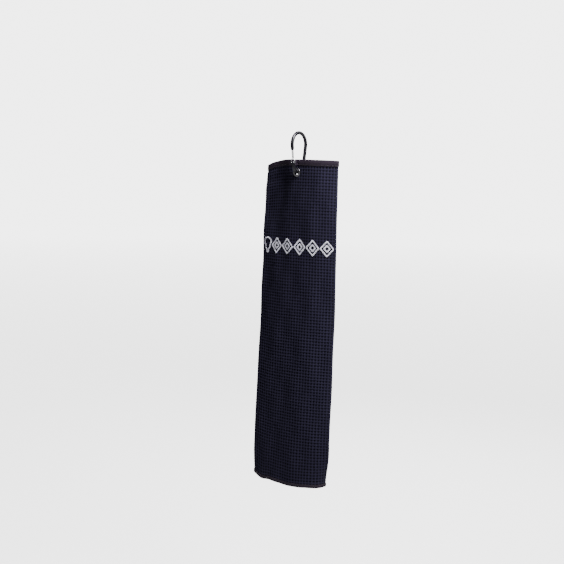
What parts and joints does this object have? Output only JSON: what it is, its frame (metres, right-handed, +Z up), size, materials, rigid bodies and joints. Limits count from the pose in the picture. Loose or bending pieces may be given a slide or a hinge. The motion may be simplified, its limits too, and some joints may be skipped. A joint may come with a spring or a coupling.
{
  "type": "golf towel",
  "caption": "Waffle-weave golf towel folded lengthwise in thirds, hanging by a metal eyelet on a pear-shaped wire-gate carabiner that clips to a bag or trolley.",
  "frame": {"origin": "hang point: the inner crown of the carabiner's upper arch, in the carabiner's plane", "axes": "+Z up along the hanging towel, -Y towards the embroidered front, +X to the right of someone who faces that front; the carabiner lies in the YZ plane"},
  "size_m": [0.1394, 0.0426, 0.5782],
  "materials": {
    "anodised_rod": "satin black anodised aluminium",
    "steel_wire": "polished stainless wire",
    "eyelet_metal": "bright nickel plate",
    "waffle_cloth": "navy-black microfibre waffle weave, matt",
    "woven_binding": "black-brown woven tape, faint sheen",
    "embroidery_thread": "white satin-stitch rayon thread"
  },
  "bodies": {
    "carabiner": {"carabiner_body": "anodised_rod"},
    "gate": {"wire_gate": "steel_wire"},
    "eyelet": {"eyelet": "eyelet_metal", "eyelet_washer": "eyelet_metal"},
    "towel": {"towel_cloth": "waffle_cloth", "top_binding": "woven_binding", "bottom_binding": "woven_binding", "inner_edge_binding": "woven_binding", "outer_edge_binding": "woven_binding", "motif_ball_on_tee": "embroidery_thread", "motif_lozenge_1": "embroidery_thread", "motif_lozenge_core_1": "embroidery_thread", "motif_lozenge_2": "embroidery_thread", "motif_lozenge_core_2": "embroidery_thread", "motif_lozenge_3": "embroidery_thread", "motif_lozenge_core_3": "embroidery_thread", "motif_lozenge_4": "embroidery_thread", "motif_lozenge_core_4": "embroidery_thread", "motif_lozenge_5": "embroidery_thread", "motif_lozenge_core_5": "embroidery_thread"}
  },
  "joints": [
    {"name": "gate_swing", "type": "hinge", "parent": "carabiner", "child": "gate", "pos_m": [0, -0.01422, -0.04533], "axis": [1, 0, 0], "range_deg": [-25, 0], "stiffness_Nm_per_rad": 0.05, "springref_deg": 5.73},
    {"name": "towel_tip", "type": "hinge", "parent": "carabiner", "child": "eyelet", "pos_m": [0, 0, -0.0457], "axis": [1, 0, 0], "range_deg": [-13, 13]},
    {"name": "towel_swing", "type": "hinge", "parent": "eyelet", "child": "towel", "pos_m": [0, -0.0002, -0.0598], "axis": [0, 0.9999, -0.0145], "range_deg": [-55, 55]}
  ]
}
